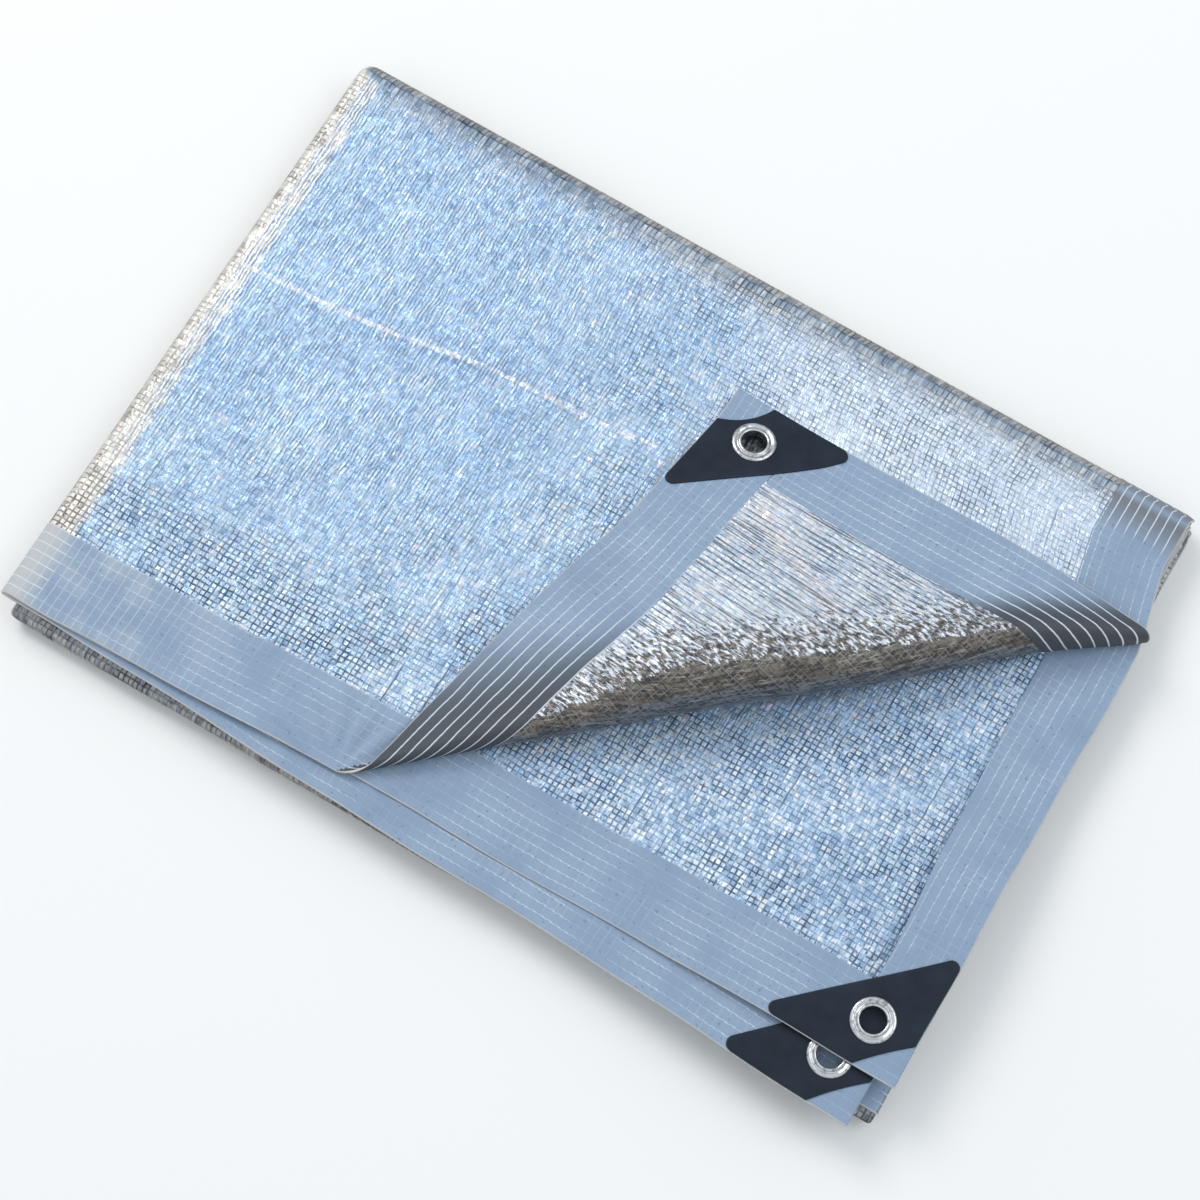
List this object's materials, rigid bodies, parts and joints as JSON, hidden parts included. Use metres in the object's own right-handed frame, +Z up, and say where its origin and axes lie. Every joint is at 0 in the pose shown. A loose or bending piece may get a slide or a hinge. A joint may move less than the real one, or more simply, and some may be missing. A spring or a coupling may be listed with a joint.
{
  "type": "folded shade net",
  "caption": "Folded knitted shade net with bound edges, black corner patches and metal eyelets, one corner turned back.",
  "frame": {"origin": "middle of the bundle's footprint, on the surface it lies on", "axes": "+X along the long side, towards the bound short edges; +Y towards the long fold; +Z up, with the turned-back corner on top"},
  "size_m": [0.5307, 0.3755, 0.0664],
  "materials": {
    "aluminised_net": "shiny metallised knitted strip",
    "woven_binding": "satin woven tape with light threads",
    "black_patch": "matt coated cloth",
    "eyelet_metal": "polished"
  },
  "bodies": {
    "root": {"net": "aluminised_net", "binding_front_upper": "woven_binding", "binding_front_lower": "woven_binding", "binding_side_upper": "woven_binding", "binding_side_lower": "woven_binding", "patch_1_front": "black_patch", "patch_1_back": "black_patch", "patch_2_front": "black_patch", "patch_2_back": "black_patch", "patch_3_front": "black_patch", "patch_3_back": "black_patch", "patch_4_front": "black_patch", "patch_4_back": "black_patch", "eyelet_1": "eyelet_metal", "eyelet_2": "eyelet_metal", "eyelet_3": "eyelet_metal", "eyelet_4": "eyelet_metal"}
  },
  "joints": []
}
